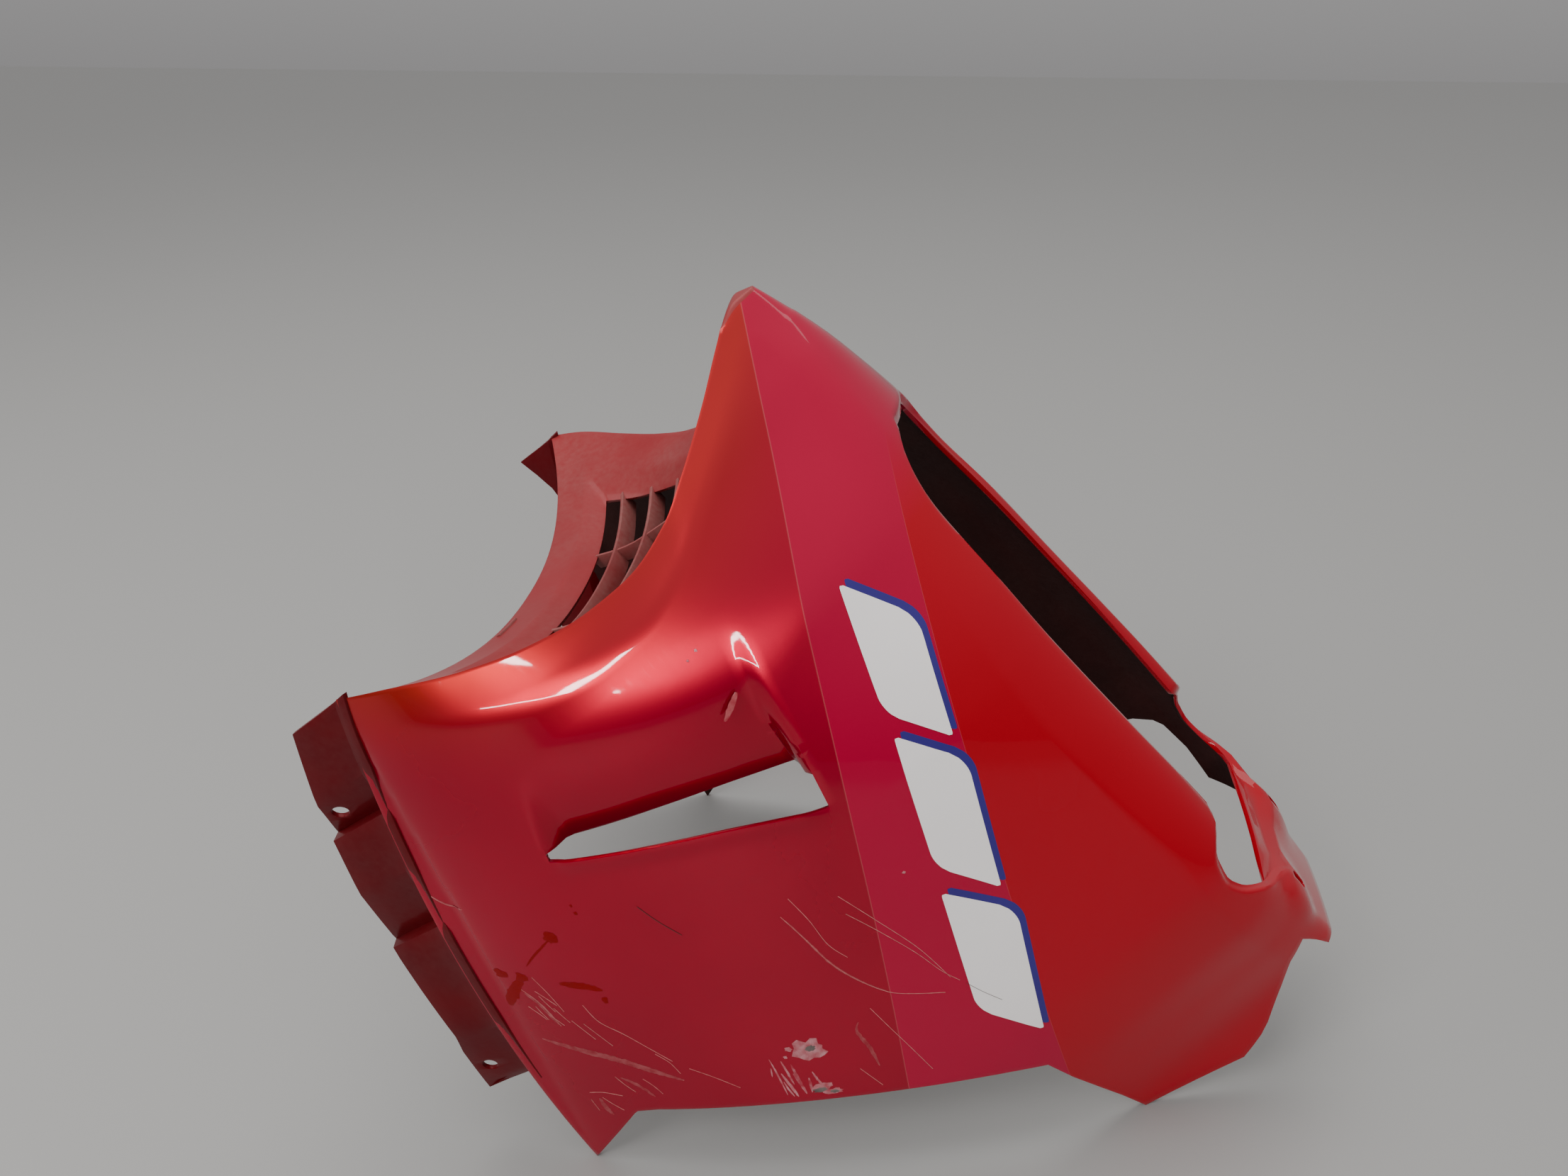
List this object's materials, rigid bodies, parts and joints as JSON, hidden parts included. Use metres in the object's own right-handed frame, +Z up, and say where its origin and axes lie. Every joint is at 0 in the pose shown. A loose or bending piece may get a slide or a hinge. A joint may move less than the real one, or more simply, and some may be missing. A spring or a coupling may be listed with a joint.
{
  "type": "motorcycle lower fairing",
  "caption": "One-piece lower fairing with two walls, a hollow louvred front arch, a long keel slot, scooped side vents and folded top flanges, the left one broken at the front.",
  "frame": {"origin": "middle of the bounding box at floor level", "axes": "+Z up with the keel uppermost, as pictured; +X towards the rear strap end of the keel, +Y across towards the left wall; the shell stands on its rear corners"},
  "size_m": [0.6166, 0.3854, 0.5194],
  "materials": {
    "painted_shell": "worn metallic red gloss over moulded plastic, dusty dark red on the arch and flange"
  },
  "bodies": {
    "root": {"belly_fairing": "painted_shell"}
  },
  "joints": []
}
